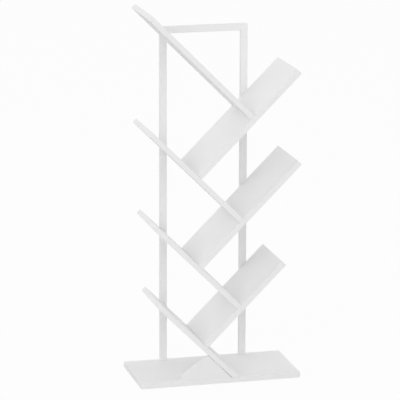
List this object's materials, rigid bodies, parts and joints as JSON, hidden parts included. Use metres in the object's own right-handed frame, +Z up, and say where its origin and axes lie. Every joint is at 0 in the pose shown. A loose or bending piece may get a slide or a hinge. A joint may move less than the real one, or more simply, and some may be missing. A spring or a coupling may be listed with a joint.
{
  "type": "tree shaped bookshelf",
  "caption": "Tree-shaped bookcase: square-set sloping shelves branch left and right in front of a slim rear frame on a flat base board; all joints are screwed and dowelled.",
  "frame": {"origin": "on the floor, under the middle of the base board", "axes": "+Z up, +X to the right seen from the open front, which faces -Y; the rear frame is on the +Y side"},
  "size_m": [0.505, 0.24, 1.1541],
  "materials": {
    "white_board": "white melamine-faced particle board with white edge bands, satin with a fine pearl grain",
    "zinc_steel": "bright zinc plate",
    "beech": "raw fluted beech, pressed",
    "white_plastic": "moulded polyethylene, matt"
  },
  "bodies": {
    "root": {"base_board": "white_board", "foot_gusset": "white_board", "left_post": "white_board", "right_post": "white_board", "top_rail": "white_board", "left_shelf_1": "white_board", "right_shelf_1": "white_board", "left_shelf_2": "white_board", "right_shelf_2": "white_board", "left_shelf_3": "white_board", "right_shelf_3": "white_board", "left_shelf_4": "white_board", "left_post_foot_screw": "zinc_steel", "left_post_rail_screw": "zinc_steel", "right_post_foot_screw": "zinc_steel", "right_post_rail_screw": "zinc_steel", "gusset_screw_1": "zinc_steel", "gusset_screw_2": "zinc_steel", "right_shelf_1_front_screw": "zinc_steel", "right_shelf_1_rear_screw": "zinc_steel", "left_shelf_2_front_screw": "zinc_steel", "left_shelf_2_rear_screw": "zinc_steel", "right_shelf_2_front_screw": "zinc_steel", "right_shelf_2_rear_screw": "zinc_steel", "left_shelf_3_front_screw": "zinc_steel", "left_shelf_3_rear_screw": "zinc_steel", "right_shelf_3_front_screw": "zinc_steel", "right_shelf_3_rear_screw": "zinc_steel", "left_shelf_4_front_screw": "zinc_steel", "left_shelf_4_rear_screw": "zinc_steel", "left_shelf_1_post_screw": "zinc_steel", "right_shelf_1_post_screw": "zinc_steel", "left_shelf_2_post_screw": "zinc_steel", "right_shelf_2_post_screw": "zinc_steel", "left_shelf_3_post_screw": "zinc_steel", "right_shelf_3_post_screw": "zinc_steel", "left_shelf_4_post_screw": "zinc_steel", "left_post_foot_dowel": "beech", "left_post_rail_dowel": "beech", "right_post_foot_dowel": "beech", "right_post_rail_dowel": "beech", "gusset_dowel_1": "beech", "gusset_dowel_2": "beech", "shelf_foot_dowel_1": "beech", "shelf_foot_dowel_2": "beech", "right_shelf_1_dowel": "beech", "left_shelf_2_dowel": "beech", "right_shelf_2_dowel": "beech", "left_shelf_3_dowel": "beech", "right_shelf_3_dowel": "beech", "left_shelf_4_dowel": "beech", "glide_front_left": "white_plastic", "glide_front_right": "white_plastic", "glide_rear_left": "white_plastic", "glide_rear_right": "white_plastic"}
  },
  "joints": []
}
